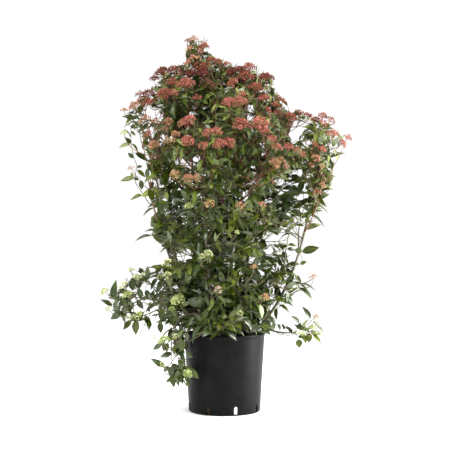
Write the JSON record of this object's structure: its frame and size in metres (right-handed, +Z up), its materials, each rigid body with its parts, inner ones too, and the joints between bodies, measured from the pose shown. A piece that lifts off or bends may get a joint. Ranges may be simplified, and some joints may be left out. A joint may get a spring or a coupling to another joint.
{
  "type": "potted laurustinus shrub",
  "caption": "Many-stemmed evergreen laurustinus shrub, its crown topped with flat heads of red and pink buds, standing in a plain round black nursery pot",
  "frame": {"origin": "centre of the pot's flat underside", "axes": "+Z up along the pot's axis, -Y towards the front, +X to the right seen from the front"},
  "size_m": [0.9165, 0.8237, 1.381],
  "materials": {
    "black_plastic": "matte moulded",
    "peat": "rough crumbly compost",
    "bark": "rough grey-brown bark, red on young shoots",
    "foliage": "leathery leaves, satin",
    "foliage_in_bud": "leathery leaves with heads of flower buds, satin",
    "leaf_deep": "glossy deep green",
    "leaf_fresh": "satin fresh green",
    "shoot_red": "smooth red-brown young shoots",
    "bud_red": "matte dark red buds",
    "bud_rose": "matte rose buds",
    "bud_cream": "matte cream-green buds",
    "petal": "soft pink-white petals"
  },
  "bodies": {
    "root": {"pot": "black_plastic", "soil": "peat", "stem_spire": "bark", "stem_top_left": "bark", "stem_top_middle": "bark", "stem_top_right": "bark", "stem_high_right": "bark", "stem_high_rear_left": "bark", "stem_high_rear_right": "bark", "stem_high_front": "bark", "stem_high_left": "bark", "stem_right_lobe": "bark", "stem_left": "bark", "stem_front": "bark", "bough_left_arm": "bark", "bough_left_hanging": "bark", "bough_right_arm": "bark", "foliage_spire": "foliage_in_bud", "foliage_top_left": "foliage_in_bud", "foliage_top_middle": "foliage_in_bud", "foliage_top_right": "foliage_in_bud", "foliage_high_right": "foliage_in_bud", "foliage_high_rear_left": "foliage_in_bud", "foliage_high_rear_right": "foliage_in_bud", "foliage_high_front": "foliage_in_bud", "foliage_high_left": "foliage_in_bud", "foliage_right_lobe": "foliage_in_bud", "foliage_left": "foliage_in_bud", "foliage_front": "foliage_in_bud", "foliage_left_arm": "foliage_in_bud", "foliage_left_hanging": "foliage_in_bud", "foliage_right_arm": "foliage_in_bud", "foliage_high_front_left": "foliage_in_bud", "foliage_shoulder_right": "foliage_in_bud", "foliage_right_tip": "foliage_in_bud", "foliage_shoulder_front_right": "foliage_in_bud", "foliage_left_flank": "foliage", "foliage_shoulder_front_left": "foliage_in_bud", "foliage_front_right": "foliage_in_bud", "foliage_right_flank": "foliage_in_bud", "foliage_right_waist": "foliage", "foliage_rear_right": "foliage_in_bud", "foliage_rear_left": "foliage_in_bud", "foliage_rear": "foliage_in_bud", "foliage_waist_left": "foliage", "foliage_waist_front_left": "foliage", "foliage_waist_front": "foliage", "foliage_waist_front_right": "foliage_in_bud", "foliage_waist_rear_right": "foliage_in_bud", "foliage_waist_rear": "foliage", "foliage_waist_rear_left": "foliage_in_bud", "foliage_left_arm_top": "foliage_in_bud", "foliage_left_arm_low": "foliage", "foliage_front_rim": "foliage_in_bud", "foliage_right_spray": "foliage_in_bud", "foliage_low_left": "foliage", "foliage_low_right": "foliage", "foliage_low_rear": "foliage_in_bud", "foliage_low_rear_left": "foliage_in_bud", "foliage_low_front_right": "foliage_in_bud"}
  },
  "joints": []
}
